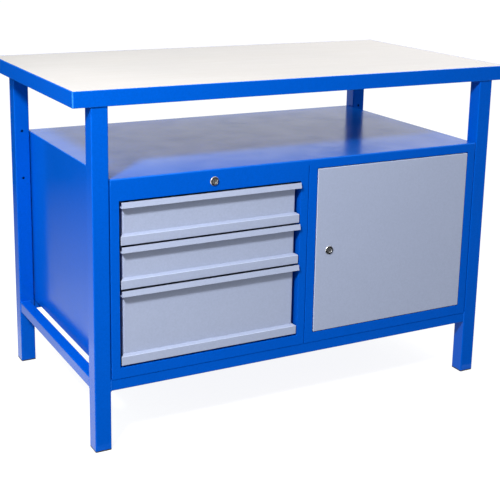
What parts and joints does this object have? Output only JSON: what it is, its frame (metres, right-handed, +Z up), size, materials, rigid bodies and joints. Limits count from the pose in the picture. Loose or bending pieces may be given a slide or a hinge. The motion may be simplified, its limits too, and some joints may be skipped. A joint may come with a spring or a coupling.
{
  "type": "workbench with drawers",
  "caption": "Steel-framed workbench with a steel-edged plywood top, an open shelf, a bay of lockable drawers and a lockable cupboard beside it.",
  "frame": {"origin": "on the floor at the centre of the footprint, drawer grips included", "axes": "+X to the right seen from the front, +Y to the back, +Z up; drawers and door open towards -Y"},
  "size_m": [1.2, 0.641, 0.855],
  "materials": {
    "blue_paint": "semi-gloss powder coat",
    "grey_paint": "fine matt powder coat",
    "zinc": "zinc plated",
    "chrome": "polished",
    "plywood": "pale birch plywood, thin clear oil",
    "black_plastic": "moulded"
  },
  "bodies": {
    "bench": {"leg_front_left": "blue_paint", "leg_front_right": "blue_paint", "leg_rear_left": "blue_paint", "leg_rear_right": "blue_paint", "foot_cap_front_left": "black_plastic", "foot_cap_front_right": "black_plastic", "foot_cap_rear_left": "black_plastic", "foot_cap_rear_right": "black_plastic", "rail_front": "blue_paint", "rail_rear": "blue_paint", "stretcher_left": "blue_paint", "stretcher_right": "blue_paint", "top_angle_front": "blue_paint", "top_angle_rear": "blue_paint", "top_angle_left": "blue_paint", "top_angle_right": "blue_paint", "worktop_board": "plywood", "top_bearer_left": "blue_paint", "top_bearer_right": "blue_paint", "shelf_plate": "blue_paint", "drawer_cabinet_side_left": "blue_paint", "drawer_cabinet_side_right": "blue_paint", "drawer_cabinet_back": "blue_paint", "drawer_cabinet_floor": "blue_paint", "drawer_cabinet_face_frame": "blue_paint", "cupboard_side_left": "blue_paint", "cupboard_side_right": "blue_paint", "cupboard_back": "blue_paint", "cupboard_floor": "blue_paint", "cupboard_face_frame": "blue_paint", "cupboard_shelf": "blue_paint", "runner_bottom_left": "zinc", "runner_bottom_right": "zinc", "runner_middle_left": "zinc", "runner_middle_right": "zinc", "runner_top_left": "zinc", "runner_top_right": "zinc", "door_pivot_lower": "zinc", "door_pivot_upper": "zinc", "drawer_lock_barrel": "chrome", "drawer_lock_guide": "zinc"},
    "drawer_bottom": {"drawer_front_bottom": "grey_paint", "drawer_box_bottom": "grey_paint", "drawer_slide_bottom_left": "zinc", "drawer_slide_bottom_right": "zinc"},
    "drawer_middle": {"drawer_front_middle": "grey_paint", "drawer_box_middle": "grey_paint", "drawer_slide_middle_left": "zinc", "drawer_slide_middle_right": "zinc"},
    "drawer_top": {"drawer_front_top": "grey_paint", "drawer_box_top": "grey_paint", "drawer_slide_top_left": "zinc", "drawer_slide_top_right": "zinc"},
    "door": {"door_panel": "grey_paint", "door_lock_barrel": "chrome"},
    "door_lock": {"door_lock_plug": "chrome", "door_lock_cam": "zinc"},
    "drawer_lock": {"drawer_lock_plug": "chrome", "drawer_lock_rod": "zinc"},
    "lock_bar": {"drawer_lock_bar": "zinc"}
  },
  "joints": [
    {"name": "drawer_bottom_slide", "type": "slide", "parent": "bench", "child": "drawer_bottom", "axis": [0, -1, 0], "range_m": [0, 0.4]},
    {"name": "drawer_middle_slide", "type": "slide", "parent": "bench", "child": "drawer_middle", "axis": [0, -1, 0], "range_m": [0, 0.4]},
    {"name": "drawer_top_slide", "type": "slide", "parent": "bench", "child": "drawer_top", "axis": [0, -1, 0], "range_m": [0, 0.4]},
    {"name": "door_hinge", "type": "hinge", "parent": "bench", "child": "door", "pos_m": [0.482, -0.3065, 0.41475], "axis": [0, 0, 1], "range_deg": [0, 110]},
    {"name": "door_lock_turn", "type": "hinge", "parent": "door", "child": "door_lock", "pos_m": [0.0662, -0.3115, 0.41475], "axis": [0, 1, 0], "range_deg": [0, 90]},
    {"name": "drawer_lock_turn", "type": "hinge", "parent": "bench", "child": "drawer_lock", "pos_m": [-0.25685, -0.3115, 0.6245], "axis": [0, -1, 0], "range_deg": [0, 90]},
    {"name": "lock_bar_lift", "type": "slide", "parent": "bench", "child": "lock_bar", "axis": [0, 0, 1], "range_m": [0, 0.01]}
  ],
  "couplings": [
    {"joint": "drawer_lock_turn", "follows": "lock_bar_lift", "rad_per_m": 157.08}
  ]
}
